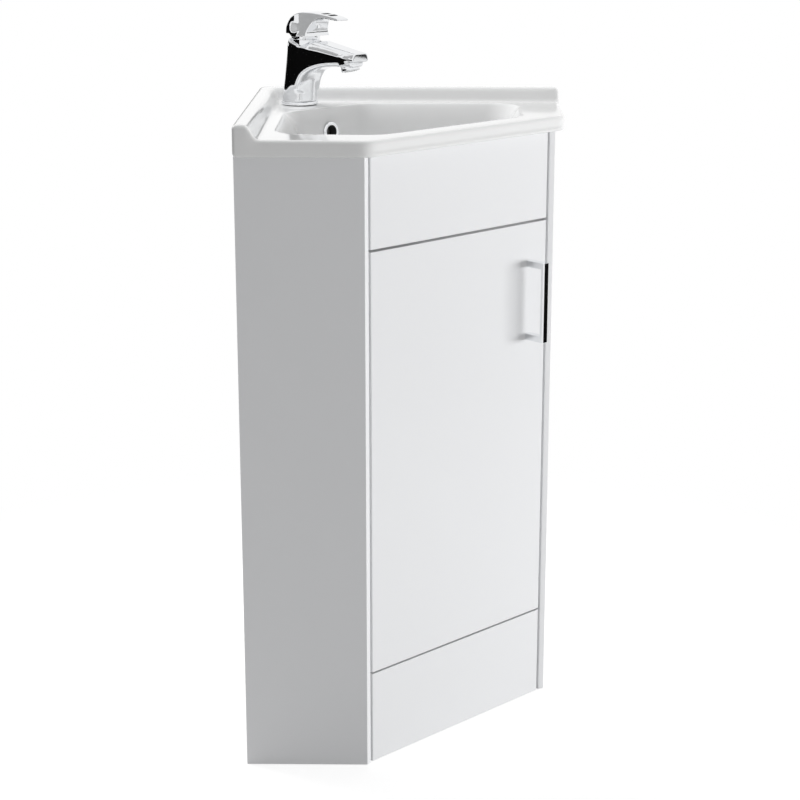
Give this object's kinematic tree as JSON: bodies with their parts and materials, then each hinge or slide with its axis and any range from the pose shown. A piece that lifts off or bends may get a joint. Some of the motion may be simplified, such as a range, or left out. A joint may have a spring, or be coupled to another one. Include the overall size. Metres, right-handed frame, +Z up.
{
  "type": "corner vanity unit",
  "caption": "Corner vanity unit: five-sided white cabinet with a diagonal hinged door and bar handle, a ceramic corner basin, a single-lever mixer, and a waste with bottle trap.",
  "frame": {"origin": "on the floor, under the middle of the unit's bounding box", "axes": "+Z up, -Y out of the door's face, +Y to the room corner; the two walls run at 45 degrees, and the door's hinges are at -X"},
  "size_m": [0.5624, 0.402, 0.9122],
  "materials": {
    "white_board": "white lacquer, satin",
    "grey_board": "melamine, matt",
    "timber": "planed softwood",
    "zinc_steel": "zinc plated",
    "clear_pad": "soft clear pad",
    "chrome": "polished",
    "plug_cap": "polished cap over the lever's screw",
    "china": "white glaze",
    "rubber": "matt black",
    "white_plastic": "moulded polypropylene",
    "cartridge_plastic": "moulded",
    "brass": "machined"
  },
  "bodies": {
    "cabinet": {"left_side_panel": "white_board", "right_side_panel": "white_board", "base_panel": "grey_board", "plinth_panel": "white_board", "fascia_panel": "white_board", "corner_post": "timber", "left_top_rail": "timber", "right_top_rail": "timber", "left_low_rail": "timber", "right_low_rail": "timber", "fascia_blocks": "timber", "plinth_blocks": "timber", "base_dowels": "timber", "block_screws": "zinc_steel", "upper_hinge_plate": "zinc_steel", "lower_hinge_plate": "zinc_steel", "hinge_plate_screws": "zinc_steel", "upper_hinge_arm": "zinc_steel", "lower_hinge_arm": "zinc_steel", "hinge_arm_screws": "zinc_steel", "hinge_arm_pins": "zinc_steel", "basin": "china", "overflow_ring": "chrome", "tap_base_ring": "chrome", "tap_base_seal": "rubber", "tap_body": "chrome", "aerator_housing": "chrome", "aerator_insert": "white_plastic", "cartridge": "cartridge_plastic", "cartridge_nut": "chrome", "tap_stud": "zinc_steel", "rubber_horseshoe": "rubber", "steel_horseshoe": "zinc_steel", "tap_fixing_nut": "brass", "waste_body": "chrome", "waste_top_seal": "rubber", "waste_under_seal": "rubber", "waste_back_nut": "white_plastic", "trap_nut": "white_plastic", "trap_washer": "rubber", "trap_body": "white_plastic", "trap_cup": "white_plastic", "trap_outlet_nut": "white_plastic"},
    "inner_links": {"inner_links": "zinc_steel"},
    "outer_links": {"outer_links": "zinc_steel"},
    "door": {"door_panel": "white_board", "door_handle": "chrome", "handle_screws": "zinc_steel", "door_buffers": "clear_pad", "upper_hinge_cup": "zinc_steel", "lower_hinge_cup": "zinc_steel", "hinge_cup_pins": "zinc_steel", "hinge_cup_screws": "zinc_steel"},
    "mixer_carrier": {"stem_carrier": "cartridge_plastic", "stem_pin": "zinc_steel"},
    "lever": {"lever": "chrome", "lever_stem": "brass", "lever_screw": "zinc_steel", "lever_plug": "plug_cap"},
    "plug": {"plug": "chrome"}
  },
  "joints": [
    {"name": "inner_link_swing", "type": "hinge", "parent": "cabinet", "child": "inner_links", "pos_m": [-0.11188, -0.15154, 0.3885], "axis": [0, 0, -1], "range_deg": [-17, 0]},
    {"name": "door_swing", "type": "hinge", "parent": "inner_links", "child": "door", "pos_m": [-0.14508, -0.16324, 0.3885], "axis": [0, 0, -1], "range_deg": [0, 111]},
    {"name": "outer_link_swing", "type": "hinge", "parent": "cabinet", "child": "outer_links", "pos_m": [-0.10788, -0.14504, 0.3885], "axis": [0, 0, -1], "range_deg": [-30, 0]},
    {"name": "lever_turn", "type": "hinge", "parent": "cabinet", "child": "mixer_carrier", "pos_m": [0, 0.1145, 0.8663], "axis": [0, 0, 1], "range_deg": [-45, 45]},
    {"name": "lever_lift", "type": "hinge", "parent": "mixer_carrier", "child": "lever", "pos_m": [0, 0.1145, 0.8663], "axis": [-1, 0, 0], "range_deg": [0, 20]},
    {"name": "plug_lift", "type": "slide", "parent": "cabinet", "child": "plug", "axis": [0, 0, 1], "range_m": [0, 0.007]}
  ],
  "couplings": [
    {"joint": "inner_link_swing", "follows": "door_swing", "ratio": -0.145},
    {"joint": "outer_link_swing", "follows": "door_swing", "ratio": -0.265}
  ]
}
